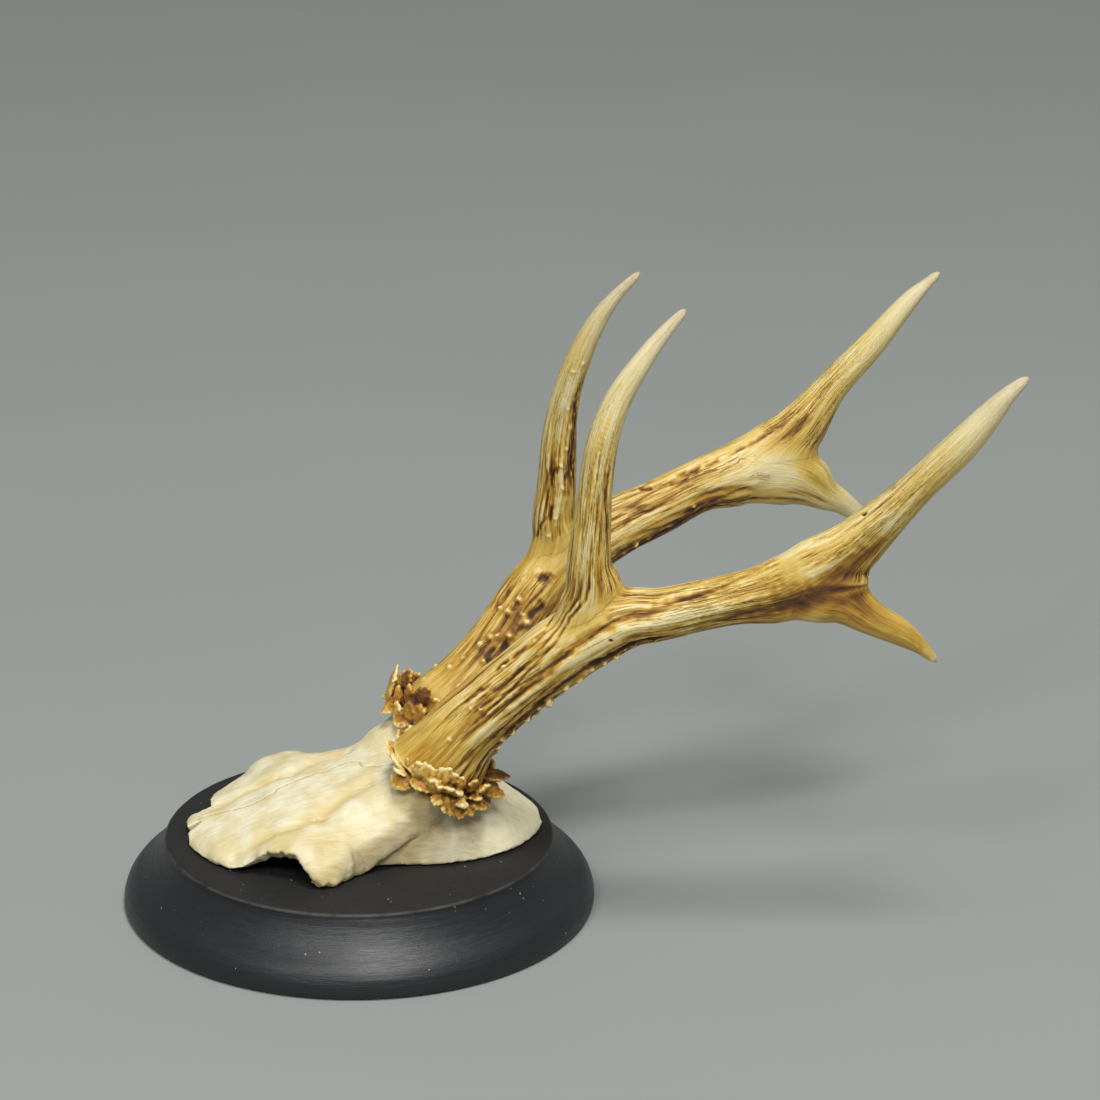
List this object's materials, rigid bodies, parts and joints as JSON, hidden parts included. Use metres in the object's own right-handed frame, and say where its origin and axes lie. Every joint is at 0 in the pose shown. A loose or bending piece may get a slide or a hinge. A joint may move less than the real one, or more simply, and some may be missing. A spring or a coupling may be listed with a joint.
{
  "type": "roe deer antlers on skull cap and plaque",
  "caption": "Pair of branched roe deer antlers grown on a sawn skull cap, fixed on a round turned wooden plaque that rests flat.",
  "frame": {"origin": "middle of the plaque's flat back, which is its resting face", "axes": "+Z out of the plaque, -Y towards the deer's nose, +Y towards the antler tips, +X the deer's left"},
  "size_m": [0.13, 0.2358, 0.1734],
  "materials": {
    "painted_wood": "thin satin black paint over turned wood",
    "bone": "boiled and bleached bone, dry and matte",
    "antler": "ridged antler with brown stain in the furrows and polished pale tips"
  },
  "bodies": {
    "root": {"plaque": "painted_wood", "skull_cap": "bone", "left_beam": "antler", "left_brow_tine": "antler", "left_rear_tine": "antler", "right_beam": "antler", "right_brow_tine": "antler", "right_rear_tine": "antler"}
  },
  "joints": []
}
